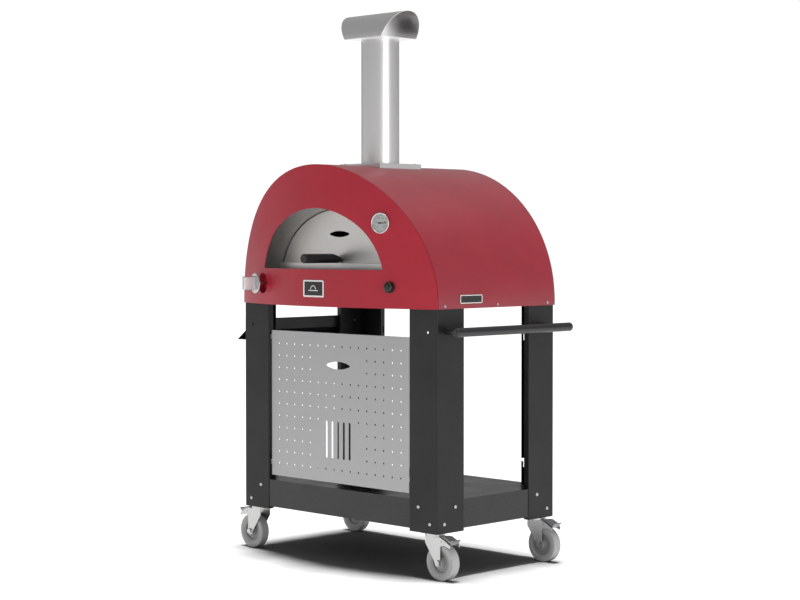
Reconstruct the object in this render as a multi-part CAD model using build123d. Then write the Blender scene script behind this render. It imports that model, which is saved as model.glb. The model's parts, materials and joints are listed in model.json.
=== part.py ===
"""Free-standing outdoor pizza oven on a wheeled stand, in millimetres, +Z up.

The origin is on the floor, under the centre of the stand's four legs. +X is to the
right of a person who faces the oven's mouth, and -Y is the front.
"""

from build123d import *
import os
from math import asin, atan2, cos, degrees, hypot, pi, radians, sin, sqrt

# ---------------------------------------------------------------- stand
DEPTH = 546.0                      # shell depth at its sides, front corner to rear edge
FRONT = -DEPTH / 2
REAR = DEPTH / 2
LEG_X = 448.5                      # outer faces of the legs
LEG_Y = DEPTH / 2 - 2.5
LEG_FLANGE = 120.0
LEG_LIP = 20.0
LEG_T = 2.0
LEG_FOOT = 143.5
LEG_TOP = 857.0
LIP_TOP = 826.0
BOLT_PLACES = [(80.0, 221.4), (31.0, 172.4)]    # from the leg's corner, above the floor
BOLT_R = 3.0
ACCESSORY_INSET, ACCESSORY_R = 40.0, 4.0        # holes for the side handle, rail and hooks
ACCESSORY_Z = {-1: 752.0, 1: 760.0}             # left rail, right handle
FRONT_HOLE_Z = 757.0
HOOK_SLOT_Z = [(293.0, 323.0), (710.0, 733.0)]
HOOK_SLOT_W, HOOK_ENTRY_H = 6.0, 10.0
HOOK_INSET = 8.5                   # slot centre behind the leg's outer face

SHELF_TOP = 242.0
SHELF_SKIRT_BOTTOM = 152.0
SHEET = 1.5

PANEL_HALF, PANEL_BOTTOM, PANEL_TOP = 321.0, 258.0, 738.5
PEG_X, PEG_Z, PEG_R = 38.0, 39.6, 3.0
PEG_COLUMNS, PEG_ROWS = 16, 11
PEG_LOWEST = 300.2

HANDLE_X, HANDLE_Z, HANDLE_R = 518.0, 760.0, 14.0
HANDLE_Y0, HANDLE_Y1 = FRONT + 7, FRONT + 546

# ---------------------------------------------------------------- casters
WHEEL_R, WHEEL_W = 56.0, 31.0
PIVOT_X = 407.5
PIVOT_Y = LEG_Y - 33.5
TRAIL = 33.5
FORK_HALF, FORK_T = 22.0, 2.5
AXLE_R = 5.0
RUN = 0.05                         # radial running clearance
KINGPIN_R = 6.0
FORK_TOP = 134.0
PEDAL_PIVOT = (TRAIL + 14.0, 123.0)             # behind the swivel axis, above the floor
CASTER_BOLTS = [(-28.0, -24.0), (28.0, -24.0), (28.0, 24.0), (-28.0, 24.0)]

# ---------------------------------------------------------------- oven body
SHELL_X = 451.0
SHELL_BOTTOM = 828.0
SPRING_Z = 840.0                   # the arch is elliptical above this height
CROWN_Z = 1277.0
BOW_SAG = 95.0
BOW_R = (SHELL_X**2 + BOW_SAG**2) / (2 * BOW_SAG)
BOW_Y = FRONT - BOW_SAG + BOW_R    # the bowed front's vertical axis
FRONT_T = 2.5
SHELL_T = 2.0
SEAM = 2.4
BASE_Z = LEG_TOP

MOUTH_HALF, MOUTH_Z, MOUTH_CROWN = 276.0, 946.0, 1139.0
MOUTH_R, MOUTH_JOIN = 330.0, 180.0
HEARTH_Z = 964.0
DOOR_Y = FRONT + 18.0
DOOR_GAP = 2.5
DOME_Y0, DOME_Y1 = FRONT + 38, FRONT + 507
DOME_X, DOME_RISE, DOME_SPRING = 335.0, 265.0, 930.0
HEARTH_BOTTOM = 924.0
INSULATION_T = 50.0

# ---------------------------------------------------------------- flue
FLUE_Y = FRONT + 200.0
PIPE_R, PIPE_T = 62.0, 1.8
PIPE_TOP = 1690.0
FLUE_BOX_HALF, FLUE_BOX_TOP = 94.0, 1284.3
CAP_R, CAP_AXIS_Z = 80.5, 1693.5
CAP_END, CAP_SLANT = 87.0, 0.59

# ---------------------------------------------------------------- controls on the bowed front
THERMO_X, THERMO_Z, THERMO_R = 271.0, 1090.5, 32.0
BUTTON_X, BUTTON_Z, BUTTON_R = 301.0, 893.6, 14.9
KNOB_X, KNOB_Z, KNOB_R = -289.0, 896.5, 33.0
BURNER_X, BURNER_Z, BURNER_R = -292.0, 985.0, 14.0
GAS_INLET_X, GAS_INLET_Z = -400.0, 885.0
GAS_INLET_R, GAS_INLET_LENGTH = 10.5, 20.0

FROM_BASE = (Align.CENTER, Align.CENTER, Align.MIN)


def block(x0, x1, y0, y1, z0, z1):
    """Box between two corners."""
    return Pos((x0 + x1) / 2, (y0 + y1) / 2, (z0 + z1) / 2) * Box(
        abs(x1 - x0), abs(y1 - y0), abs(z1 - z0)
    )


def rod(start, end, radius):
    """Cylinder from one point to another."""
    start, end = Vector(*start), Vector(*end)
    length = (end - start).length
    return Plane(origin=start, z_dir=end - start) * Cylinder(radius, length, align=FROM_BASE)


def prism_y(face, y0, y1):
    """A face drawn in X and Z, extruded from y0 to y1."""
    plane = Plane(origin=(0, y1, 0), x_dir=(1, 0, 0), z_dir=(0, -1, 0))
    return extrude(plane * face, amount=y1 - y0)


def arch_face(half, spring, rise, bottom):
    """Upright arch: straight sides up to spring, half an ellipse above."""
    sides = Polyline((half, spring), (half, bottom), (-half, bottom), (-half, spring))
    crown = EllipticalCenterArc((0, spring), half, rise, arc_size=180)
    return make_face([sides, crown])


def mouth_face(bottom=MOUTH_Z):
    """Low basket arch of the mouth: a crown arc with a tighter tangent arc on each side."""
    centre_z = MOUTH_CROWN - MOUTH_R
    join = Vector(MOUTH_JOIN, centre_z + sqrt(MOUTH_R**2 - MOUTH_JOIN**2))
    corner = Vector(MOUTH_HALF, MOUTH_Z)
    inward = (Vector(0, centre_z) - join).normalized()
    chord = join - corner
    radius = -chord.dot(chord) / (2 * inward.dot(chord))
    centre = join + inward * radius
    middle = centre + ((join + corner) * 0.5 - centre).normalized() * radius

    def flip(p):
        return (-p.X, p.Y)

    edges = [
        Line(flip(corner), (corner.X, corner.Y)),
        ThreePointArc((corner.X, corner.Y), (middle.X, middle.Y), (join.X, join.Y)),
        ThreePointArc((join.X, join.Y), (0, MOUTH_CROWN), flip(join)),
        ThreePointArc(flip(join), flip(middle), flip(corner)),
    ]
    return make_face(edges)


def bow_layer(outer, inner, z0, z1):
    """Curved layer between two depths behind the bowed front surface."""
    place = Pos(0, BOW_Y, z0)
    layer = place * Cylinder(BOW_R - outer, z1 - z0, align=FROM_BASE)
    layer -= place * Cylinder(BOW_R - inner, z1 - z0, align=FROM_BASE)
    return layer & block(-600, 600, FRONT - BOW_SAG - 20, FRONT + 40, z0, z1)


def bow_plane(x, z):
    """Plane on the bowed front at x, z, whose normal points out of the oven."""
    tilt = asin(x / BOW_R)
    y = BOW_Y - BOW_R * cos(tilt)
    return Plane(origin=(x, y, z), x_dir=(cos(tilt), sin(tilt), 0), z_dir=(sin(tilt), -cos(tilt), 0))


def behind_bow(depth):
    """Everything behind a surface that lies a depth behind the bowed front."""
    place = Pos(0, BOW_Y, SHELL_BOTTOM - 20)
    wall = place * Cylinder(BOW_R - depth, 600, align=FROM_BASE)
    return wall & block(-600, 600, FRONT - BOW_SAG - 20, REAR + 60, SHELL_BOTTOM - 20, CROWN_Z + 60)


def disc(z0, z1, radius):
    """Cylinder on a local axis from z0 to z1."""
    return Pos(0, 0, z0) * Cylinder(radius, z1 - z0, align=FROM_BASE)


def shell_outline(inset):
    return arch_face(SHELL_X - inset, SPRING_Z, CROWN_Z - SPRING_Z - inset, SHELL_BOTTOM)


def almond_face(length, height, x=0.0, z=0.0):
    """Almond shape: two equal arcs that meet in rounded ends."""
    reach = length / 2 + 5
    upper = ThreePointArc((x + reach, z), (x, z + height / 2), (x - reach, z))
    lower = ThreePointArc((x - reach, z), (x, z - height / 2), (x + reach, z))
    face = make_face([upper, lower])
    return fillet(face.vertices(), 3.5)


# ================================================================ stand

def leg(side, end):
    """Folded angle with a return lip on each flange. side is +1 right, end is +1 rear."""

    def piece(x0, x1, y0, y1, z0, z1):
        x = [side * (LEG_X - x0), side * (LEG_X - x1)]
        y = [end * (LEG_Y - y0), end * (LEG_Y - y1)]
        return block(min(x), max(x), min(y), max(y), z0, z1)

    body = piece(0, LEG_FLANGE, 0, LEG_T, LEG_FOOT, LEG_TOP)
    body += piece(0, LEG_T, 0, LEG_FLANGE, LEG_FOOT, LEG_TOP)
    body += piece(LEG_FLANGE - LEG_T, LEG_FLANGE, 0, LEG_LIP, LEG_FOOT, LIP_TOP)
    body += piece(0, LEG_LIP, LEG_FLANGE - LEG_T, LEG_FLANGE, LEG_FOOT, LIP_TOP)
    body += piece(0, LEG_FLANGE - LEG_T, 0, LEG_FLANGE - LEG_T, LEG_FOOT + 3, LEG_FOOT + 6)
    body += piece(0, 60, 0, 60, LEG_TOP - 2, LEG_TOP)
    for away, z in BOLT_PLACES:
        body -= leg_hole_along_y(side, end, away, z, BOLT_R)
        body -= leg_hole_along_x(side, end, away, z, BOLT_R)
    if end < 0:
        body -= leg_hole_along_y(side, end, ACCESSORY_INSET, FRONT_HOLE_Z, ACCESSORY_R)
    body -= leg_hole_along_x(side, end, ACCESSORY_INSET, ACCESSORY_Z[side], ACCESSORY_R)
    body -= leg_hole_along_x(side, end, SHELL_SCREW_INSET, SHELL_SCREW_Z, 2.5)
    half = HOOK_SLOT_W / 2
    for z0, z1 in HOOK_SLOT_Z:
        body -= piece(110, 125, HOOK_INSET - half, HOOK_INSET + half, z0, z1)
    z1 = HOOK_SLOT_Z[0][1]
    body -= piece(110, 125, HOOK_INSET - half, LEG_LIP + 1, z1 - HOOK_ENTRY_H, z1)
    for x, y in CASTER_BOLTS:
        place = (side * PIVOT_X + x, end * PIVOT_Y + y)
        body -= rod((*place, LEG_FOOT), (*place, LEG_FOOT + 8), BOLT_R)
    folds = body.edges().filter_by(Axis.Z).filter_by(lambda e: is_outer_fold(e.center(), side, end))
    return fillet(folds, 3)


def is_outer_fold(point, side, end):
    """True on the sharp outer edges of a leg's three folds."""
    x, y = LEG_X - side * point.X, LEG_Y - end * point.Y
    corners = [(0, 0), (LEG_FLANGE, 0), (0, LEG_FLANGE)]
    return any(hypot(x - a, y - b) < 0.01 for a, b in corners)


def leg_hole_along_y(side, end, away, z, radius):
    x = side * (LEG_X - away)
    return rod((x, end * (LEG_Y - 12), z), (x, end * (LEG_Y + 12), z), radius)


def leg_hole_along_x(side, end, away, z, radius):
    y = end * (LEG_Y - away)
    return rod((side * (LEG_X - 12), y, z), (side * (LEG_X + 12), y, z), radius)


SHELL_SCREW_INSET = 32.0
SHELL_SCREW_Z = 836.7


def shelf_tray():
    """Shelf with a deep skirt that stands inside the four legs, notched round their lips."""
    x, y = LEG_X - LEG_T - 0.5, LEG_Y - LEG_T - 0.5
    tray = block(-x, x, -y, y, SHELF_SKIRT_BOTTOM, SHELF_TOP)
    tray -= block(-x + SHEET, x - SHEET, -y + SHEET, y - SHEET, SHELF_SKIRT_BOTTOM - 1, SHELF_TOP - SHEET)
    for side in (-1, 1):
        for end in (-1, 1):
            tray -= lip_notch(side, end)
            for away, z in BOLT_PLACES:
                tray -= leg_hole_along_y(side, end, away, z, BOLT_R)
                tray -= leg_hole_along_x(side, end, away, z, BOLT_R)
    return tray


def lip_notch(side, end, gap=0.6):
    """Room round both lips of one leg, through the whole height of the shelf."""
    near, far = LEG_FLANGE - LEG_T - gap, LEG_FLANGE + gap
    deep = LEG_LIP + gap
    x0, x1 = sorted((side * (LEG_X - near), side * (LEG_X - far)))
    y0, y1 = sorted((end * (LEG_Y + 5), end * (LEG_Y - deep)))
    notch = block(x0, x1, y0, y1, SHELF_SKIRT_BOTTOM - 5, SHELF_TOP + 5)
    x0, x1 = sorted((side * (LEG_X + 5), side * (LEG_X - deep)))
    y0, y1 = sorted((end * (LEG_Y - near), end * (LEG_Y - far)))
    return notch + block(x0, x1, y0, y1, SHELF_SKIRT_BOTTOM - 5, SHELF_TOP + 5)


def peg_is_open(column, row):
    """Rows count from the top. Rows beside the grip slot and the vent slots have no pegs in the middle."""
    middle = min(column, PEG_COLUMNS - 1 - column)
    if row in (1, 2, 7, 8, 9):
        return middle < 5
    if row == 6:
        return middle < 6
    return True


def perforated_panel():
    """Peg panel that hangs in the front legs' slots by four hooks."""
    y0 = FRONT + 9.9
    y1 = y0 + SHEET
    panel = block(-PANEL_HALF, PANEL_HALF, y0, y1, PANEL_BOTTOM, PANEL_TOP)
    panel += block(-PANEL_HALF, PANEL_HALF, y0, y0 + 14, PANEL_TOP - SHEET, PANEL_TOP)
    panel += block(-PANEL_HALF, PANEL_HALF, y0, y0 + 14, PANEL_BOTTOM, PANEL_BOTTOM + SHEET)
    holes = Sketch()
    for row in range(PEG_ROWS):
        for column in range(PEG_COLUMNS):
            if peg_is_open(column, row):
                x = (column - (PEG_COLUMNS - 1) / 2) * PEG_X
                z = PEG_LOWEST + (PEG_ROWS - 1 - row) * PEG_Z
                holes += Pos(x, z) * Circle(PEG_R)
    holes += almond_face(112, 25, 0, 636)
    for i in range(5):
        holes += Pos((i - 2) * 27, 396) * Rot(0, 0, 90) * SlotOverall(120, 9)
    panel -= prism_y(holes, y0 - 1, y1 + 1)
    for side in (-1, 1):
        for z, _ in HOOK_SLOT_Z:
            reach = sorted((side * PANEL_HALF, side * 337))
            drop = sorted((side * 331.5, side * 337))
            panel += block(*reach, y0, y1, z, z + 16)
            panel += block(*drop, y0, y1, z - 10, z + 16)
    return panel


def tool_rail():
    """Sheet rail on the left legs, folded out into a hook lip."""
    x0 = -LEG_X
    top, knee, foot, reach = 771.5, 733.0, 702.0, 43.0
    outer = [(x0, top), (x0 - SHEET, top), (x0 - SHEET, knee), (x0 - reach, foot), (x0, foot)]
    inner = [(x0, foot + SHEET), (x0 - reach + 4.2, foot + SHEET), (x0, knee - 0.6)]
    face = make_face(Polyline(*outer, *inner, close=True))
    rail = prism_y(face, FRONT + 5, REAR - 5)
    for end in (-1, 1):
        rail -= leg_hole_along_x(-1, end, ACCESSORY_INSET, ACCESSORY_Z[-1], ACCESSORY_R)
    return rail


def side_handle_tube():
    tube = rod((HANDLE_X, HANDLE_Y0, HANDLE_Z), (HANDLE_X, HANDLE_Y1, HANDLE_Z), HANDLE_R)
    tube = fillet(tube.edges(), 6)
    bore = rod((HANDLE_X, HANDLE_Y0 + 8, HANDLE_Z), (HANDLE_X, HANDLE_Y1 - 8, HANDLE_Z), HANDLE_R - 2)
    return tube - bore


def side_handle_posts():
    """Two posts, saddled to the tube, with studs through the right legs."""
    posts = []
    for end in (-1, 1):
        y = end * (LEG_Y - ACCESSORY_INSET)
        z = ACCESSORY_Z[1]
        post = rod((LEG_X, y, z), (HANDLE_X, y, z), 10)
        post -= rod((HANDLE_X, y - 30, HANDLE_Z), (HANDLE_X, y + 30, HANDLE_Z), HANDLE_R)
        post -= block(HANDLE_X - 6, HANDLE_X + 30, y - 30, y + 30, z - 30, z + 30)
        post += rod((LEG_X - 10, y, z), (LEG_X, y, z), ACCESSORY_R)
        post += rod((LEG_X - LEG_T - 6, y, z), (LEG_X - LEG_T, y, z), 7.5)
        posts.append(post)
    return Compound(children=posts)


def bolt(head, tip, radius, head_r, head_h):
    """Screw with a low domed socket head at head, whose shank runs to tip."""
    head, tip = Vector(*head), Vector(*tip)
    out = (head - tip).normalized()
    cap = rod(tuple(head), tuple(head + out * head_h), head_r)
    cap = fillet(cap.edges().sort_by(Axis(tuple(head), tuple(out)))[-1], head_h * 0.8)
    cap += rod(tuple(tip), tuple(head), radius)
    socket = Plane(origin=head + out * (head_h + 1), z_dir=out) * RegularPolygon(head_r * 0.42, 6)
    return cap - extrude(socket, amount=-1 - head_h * 0.6)


def stand_bolts():
    """Leg to shelf bolts, and the tool rail's bolts."""
    bolts = []
    inner = LEG_T + 0.5 + SHEET
    for side in (-1, 1):
        for end in (-1, 1):
            for away, z in BOLT_PLACES:
                x, y = side * (LEG_X - away), end * LEG_Y
                bolts.append(bolt((x, y, z), (x, y - end * (inner + 9), z), BOLT_R, 5.6, 2.6))
                bolts.append(nut((x, y - end * inner, z), (0, -end, 0)))
                x, y = side * LEG_X, end * (LEG_Y - away)
                bolts.append(bolt((x, y, z), (x - side * (inner + 9), y, z), BOLT_R, 5.6, 2.6))
                bolts.append(nut((x - side * inner, y, z), (-side, 0, 0)))
    for end in (-1, 1):
        y, z = end * (LEG_Y - ACCESSORY_INSET), ACCESSORY_Z[-1]
        x = -LEG_X - SHEET
        bolts.append(bolt((x, y, z), (x + 14, y, z), ACCESSORY_R, 6.5, 3.0))
    return Compound(children=bolts)


def nut(start, way):
    """Hexagon nut that lies against start and faces along way."""
    plane = Plane(origin=start, z_dir=way)
    body = extrude(plane * RegularPolygon(5.6, 6), amount=5)
    return body - extrude(plane * Circle(BOLT_R), amount=5)


# ================================================================ casters

def caster_plates():
    """Bolted top plates of the four casters, each with its raceway boss and kingpin."""
    plates = []
    for side in (-1, 1):
        for end in (-1, 1):
            plate = block(-38, 38, -30.5, 30.5, LEG_FOOT, LEG_FOOT + 3)
            plate += disc(LEG_FOOT - 5, LEG_FOOT, 24)
            plate += disc(LEG_FOOT - 20, LEG_FOOT, KINGPIN_R)
            plate += disc(LEG_FOOT - 20, LEG_FOOT - 16, 9)
            for x, y in CASTER_BOLTS:
                plate -= rod((x, y, LEG_FOOT - 1), (x, y, LEG_FOOT + 4), BOLT_R)
            plates.append(Pos(side * PIVOT_X, end * PIVOT_Y, 0) * plate)
    return Compound(children=plates)


def caster_bolts():
    """Bolts and nuts that hold the caster plates under the legs."""
    parts = []
    for side in (-1, 1):
        for end in (-1, 1):
            for dx, dy in CASTER_BOLTS:
                x, y = side * PIVOT_X + dx, end * PIVOT_Y + dy
                parts.append(bolt((x, y, LEG_FOOT), (x, y, LEG_FOOT + 14), BOLT_R, 4.6, 2.4))
                parts.append(nut((x, y, LEG_FOOT + 6), (0, 0, 1)))
    return Compound(children=parts)


def cheek_outline():
    """Side of the fork: a tapered leg down to the axle and an arm out over the wheel for the brake."""
    right, arm = TRAIL + 8.5, TRAIL + 49
    outer = [(-21, FORK_TOP), (-21, 113), (TRAIL - 14.5, 57), (TRAIL - 3, 55)]
    inner = [(right, 56), (right, 104), (right + 4, 109.5), (TRAIL + 25, 110.5), (arm, 104.5)]
    top = [(arm, 114), (TRAIL + 26, 127), (TRAIL + 9, FORK_TOP)]
    face = make_face(Polyline(*outer, *inner, *top, close=True))
    return face + Pos(TRAIL - 3, 55.5) * Circle(11.5)


def caster_fork():
    """Swivel head and pressed fork with its axle bolt, about the swivel axis, wheel towards +X."""
    cup, web = FORK_TOP + 2, FORK_TOP - 3
    body = prism_y(cheek_outline(), -FORK_HALF, FORK_HALF)
    body -= block(-60, 120, -FORK_HALF + FORK_T, FORK_HALF - FORK_T, 0, web)
    body -= block(TRAIL + 6, 120, -FORK_HALF + FORK_T, FORK_HALF - FORK_T, 0, FORK_TOP + 1)
    body += disc(web, FORK_TOP, 26) + disc(FORK_TOP, cup, 28.5)
    body += disc(cup, LEG_FOOT - 0.5, 31) - disc(cup + 1.5, LEG_FOOT, 28.5)
    body -= disc(web - 1, LEG_FOOT, KINGPIN_R + RUN)
    body -= rod((TRAIL, -30, WHEEL_R), (TRAIL, 30, WHEEL_R), AXLE_R)
    x, z = PEDAL_PIVOT
    body -= rod((x, -30, z), (x, 30, z), 2.5)
    return Compound(children=[body, caster_axle()])


def caster_axle():
    """Axle bolt with a hexagon head at the front and a nut at the rear."""
    axle = rod((TRAIL, -FORK_HALF, WHEEL_R), (TRAIL, FORK_HALF, WHEEL_R), AXLE_R)
    head = Plane(origin=(TRAIL, -FORK_HALF, WHEEL_R), z_dir=(0, -1, 0))
    tail = Plane(origin=(TRAIL, FORK_HALF, WHEEL_R), z_dir=(0, 1, 0))
    axle += extrude(head * RegularPolygon(9, 6), amount=5.5)
    axle += extrude(tail * RegularPolygon(9, 6), amount=7)
    return axle


def spin(points):
    """Solid of revolution about the axle from a closed outline of (radius, y) points."""
    face = make_face(Polyline(*[(TRAIL + r, y) for r, y in points], close=True))
    flat = Plane(origin=(0, 0, WHEEL_R), x_dir=(1, 0, 0), z_dir=(0, 0, 1)) * face
    return revolve(flat, Axis((TRAIL, 0, WHEEL_R), (0, 1, 0)), 360)


def caster_tyre():
    """Tyre with softened shoulders and a shallow step on each side."""
    half, seat = WHEEL_W / 2, 37.0
    outline = [(seat, -half + 2), (42, -half + 2), (43, -half), (WHEEL_R - 1, -half)]
    tyre = spin(outline[:3] + [(WHEEL_R, -half)] + [(r, -y) for r, y in reversed(outline[:3] + [(WHEEL_R, -half)])])
    shoulders = tyre.edges().filter_by(GeomType.CIRCLE).filter_by(lambda e: abs(e.radius - WHEEL_R) < 0.01)
    return fillet(shoulders, 2.5)


def caster_hub():
    """Plastic wheel centre with a rim, a thin web and a boss."""
    rim, boss = WHEEL_W / 2 - 3, FORK_HALF - FORK_T - 0.3
    bore = AXLE_R + RUN
    outline = [(bore, -boss), (11, -boss), (12, -boss + 1), (12, -rim), (17, -rim), (18, -7), (29, -7), (31, -rim)]
    outline.append((37, -rim))
    return spin(outline + [(r, -y) for r, y in reversed(outline)])


def caster_pedal():
    """Pressed brake pedal between the fork's arms: a tread, an upturned toe and a foot towards the tyre."""
    upper = [(7, 136.5), (22, 136.5), (36, 130), (46, 125.5), (56, 129.5), (58, 128)]
    lower = [(51, 121.5), (46, 113.5), (37, 113), (31, 120), (21, 118), (9, 119)]
    side = make_face(Polyline(*[(TRAIL + x, z) for x, z in upper + lower], close=True))
    body = prism_y(side, -17, 17)
    body -= block(TRAIL + 17, TRAIL + 34, -14, 14, 100, 128)
    for dx in (24, 31, 38):
        body -= block(TRAIL + dx, TRAIL + dx + 2, -14, 14, 134 - 0.45 * (dx - 24), 140)
    x, z = PEDAL_PIVOT
    body += rod((x, -FORK_HALF, z), (x, FORK_HALF, z), 2.5 - RUN)
    return body


# ================================================================ oven body

def base_tray():
    """Flat floor of the oven body, on the legs' tops, with a folded edge behind the bowed front."""
    inset = SHELL_T + 0.6
    x = SHELL_X - inset
    plate = block(-x, x, FRONT - BOW_SAG, REAR - 2.6, BASE_Z, BASE_Z + 2)
    plate &= behind_bow(FRONT_T + 0.5)
    edge = bow_layer(FRONT_T + 0.5, FRONT_T + 2.5, SHELL_BOTTOM + 4, BASE_Z)
    edge &= block(-300, 300, FRONT - BOW_SAG - 5, FRONT, SHELL_BOTTOM, BASE_Z)
    plate += edge
    for side in (-1, 1):
        x0, x1 = sorted((side * x, side * (x - 2)))
        plate += block(x0, x1, -140, 140, SHELL_BOTTOM + 1, BASE_Z)
    return plate - rod((-500, 0, SHELL_SCREW_Z), (500, 0, SHELL_SCREW_Z), 2.5)


def front_panel():
    """Bowed front sheet with the arched outline, the mouth and the control holes."""
    panel = bow_layer(0, FRONT_T, SHELL_BOTTOM - 5, CROWN_Z + 5)
    panel &= prism_y(shell_outline(0), FRONT - BOW_SAG - 30, FRONT + 30)
    panel -= prism_y(mouth_face(), FRONT - BOW_SAG - 30, FRONT + 30)
    panel -= bow_plane(THERMO_X, THERMO_Z) * disc(-12, 12, 27.5)
    panel -= bow_plane(BUTTON_X, BUTTON_Z) * disc(-12, 12, 11.3)
    panel -= bow_plane(KNOB_X, KNOB_Z) * disc(-12, 12, CUP_R)
    cup = disc(-CUP_DEPTH, 2, CUP_R + SHEET) - disc(-CUP_DEPTH + SHEET, 3, CUP_R) - disc(-30, 0, 4.6)
    panel += (bow_plane(KNOB_X, KNOB_Z) * cup) & behind_bow(0)
    for x, z in arch_places(10, [8, 40, 65, 90, 115, 140, 172]):
        panel += bow_plane(x, z) * disc(-FRONT_T - SEAM, -FRONT_T + 0.5, 5)
    return panel


def arch_places(inset, angles):
    """Points on an ellipse inside the shell's arch."""
    half, rise = SHELL_X - inset, CROWN_Z - SPRING_Z - inset
    return [(half * cos(radians(a)), SPRING_Z + rise * sin(radians(a))) for a in angles]


def outer_shell():
    """Arched cover over sides and roof, with inward flanges for the front and rear panels."""
    y0, y1 = FRONT - BOW_SAG - 30, REAR
    wall = prism_y(shell_outline(0) - shell_outline(SHELL_T), y0, y1)
    ring = shell_outline(SHELL_T) - shell_outline(SHELL_T + 16)
    upper = block(-500, 500, y0, y1 + 1, BASE_Z + 5, CROWN_Z + 5)
    wall += prism_y(ring, y1 - 2, y1) & upper
    wall &= behind_bow(FRONT_T + SEAM)
    lip = prism_y(ring, y0, FRONT + 30) & bow_layer(FRONT_T + SEAM, FRONT_T + SEAM + 2, BASE_Z + 5, CROWN_Z + 5)
    wall += lip & upper
    wall -= rod((0, FLUE_Y, CROWN_Z - 40), (0, FLUE_Y, CROWN_Z + 20), 61)
    for x, y, z, side in shell_screw_places():
        wall -= rod((x - side * 10, y, z), (x + side * 5, y, z), 2.5)
    return wall


def shell_screw_places():
    """Side screws of the shell: one in each leg and one in the tray between them."""
    side_y = LEG_Y - SHELL_SCREW_INSET
    return [(s * SHELL_X, y, SHELL_SCREW_Z, s) for s in (-1, 1) for y in (-side_y, 0.0, side_y)]


def rear_panel():
    """Flat back with the gas inlet hole and two rows of cooling slots."""
    panel = prism_y(shell_outline(0), REAR + 0.3, REAR + 0.3 + SHELL_T)
    holes = Pos(GAS_INLET_X, GAS_INLET_Z) * Circle(GAS_INLET_R + 1)
    for i in range(9):
        for z in (872, 890):
            holes += Pos((i - 4) * 46, z) * SlotOverall(34, 7)
    for x, z in rear_screw_places():
        holes += Pos(x, z) * Circle(2.5)
    return panel - prism_y(holes, REAR - 5, REAR + 8)


def rear_screw_places():
    """Screws round the arch of the rear panel, halfway across the shell's rear flange."""
    return arch_places(10, [12, 38, 64, 90, 116, 142, 168])


def shell_screws():
    """Side screws, rear panel screws and the flue box's four screws."""
    screws = []
    for x, y, z, side in shell_screw_places():
        screws.append(bolt((x, y, z), (x - side * 6, y, z), 2.4, 4.6, 2.2))
    for x, z in rear_screw_places():
        y = REAR + 0.3 + SHELL_T
        screws.append(bolt((x, y, z), (x, y - 2.2, z), 2.4, 4.6, 2.2))
    inset = FLUE_BOX_HALF - 14
    for sx in (-1, 1):
        for sy in (-1, 1):
            x, y = sx * inset, FLUE_Y + sy * inset
            screws.append(bolt((x, y, FLUE_BOX_TOP), (x, y, FLUE_BOX_TOP - 5), 2.4, 4.6, 2.2))
    return Compound(children=screws)


def mouth_liner():
    """Steel throat from the bowed front back to the baking chamber."""
    y0 = FRONT - BOW_SAG - 30
    ring = offset(mouth_face(), amount=SHEET, kind=Kind.INTERSECTION) - mouth_face()
    throat = prism_y(ring, y0, DOME_Y0)
    return throat & behind_bow(FRONT_T)


def hearth_sill():
    """Step across the throat's floor that carries the door."""
    inner = offset(mouth_face(), amount=-0.4, kind=Kind.INTERSECTION)
    strip = prism_y(inner, FRONT + 5, DOME_Y0)
    strip &= block(-300, 300, FRONT, DOME_Y0 + 1, MOUTH_Z, HEARTH_Z)
    inside = block(-272, 272, FRONT + 5 + SHEET, DOME_Y0 + 1, MOUTH_Z - 1, HEARTH_Z - SHEET)
    return strip - inside


def dome_outline(grow):
    return arch_face(DOME_X + grow, DOME_SPRING, DOME_RISE + grow, HEARTH_BOTTOM)


def inner_dome():
    """Stainless baking chamber: an arched wall, a front wall round the mouth and a back wall."""
    wall = prism_y(dome_outline(SHEET) - dome_outline(0), DOME_Y0, DOME_Y1)
    ends = prism_y(dome_outline(SHEET), DOME_Y0, DOME_Y0 + SHEET)
    ends -= prism_y(mouth_face(), DOME_Y0 - 5, DOME_Y0 + 5)
    ends -= block(-MOUTH_HALF, MOUTH_HALF, DOME_Y0 - 5, DOME_Y0 + 5, 900, MOUTH_Z + 1)
    ends += prism_y(dome_outline(SHEET), DOME_Y1 - SHEET, DOME_Y1)
    dome = wall + ends
    dome -= rod((0, FLUE_Y, 1150), (0, FLUE_Y, 1230), 59.8)
    dome -= rod((BURNER_X, DOME_Y0 - 5, BURNER_Z), (BURNER_X, DOME_Y0 + 5, BURNER_Z), 4.6)
    dome -= rod((LEAD_X, DOME_Y0 - 5, LEAD_Z), (LEAD_X, DOME_Y0 + 5, LEAD_Z), 4)
    dome -= bow_plane(THERMO_X, THERMO_Z) * disc(-180, -30, 4)
    return dome


def hearth_tiles():
    """Six refractory tiles, laid three by two with a narrow joint."""
    joint, columns, rows = 1.2, 3, 2
    x0, x1 = -DOME_X + 6, DOME_X - 6
    y0, y1 = DOME_Y0 + SHEET + 1, DOME_Y1 - SHEET - 1
    dx, dy = (x1 - x0) / columns, (y1 - y0) / rows
    tiles = []
    for i in range(columns):
        for j in range(rows):
            low_x, low_y = x0 + i * dx + joint / 2, y0 + j * dy + joint / 2
            tiles.append(block(low_x, low_x + dx - joint, low_y, low_y + dy - joint, HEARTH_BOTTOM, HEARTH_Z))
    return Compound(children=tiles)


def floor_insulation():
    return block(-DOME_X - 10, DOME_X + 10, DOME_Y0, DOME_Y1, BASE_Z + 2, HEARTH_BOTTOM)


def dome_insulation():
    """Ceramic fibre blanket over the dome."""
    ring = dome_outline(SHEET + INSULATION_T) - dome_outline(2 * SHEET + 0.3)
    blanket = prism_y(ring, DOME_Y0 + 2, DOME_Y1 - 2)
    return blanket - rod((0, FLUE_Y, 1150), (0, FLUE_Y, 1280), 60)


# ================================================================ flue

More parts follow.
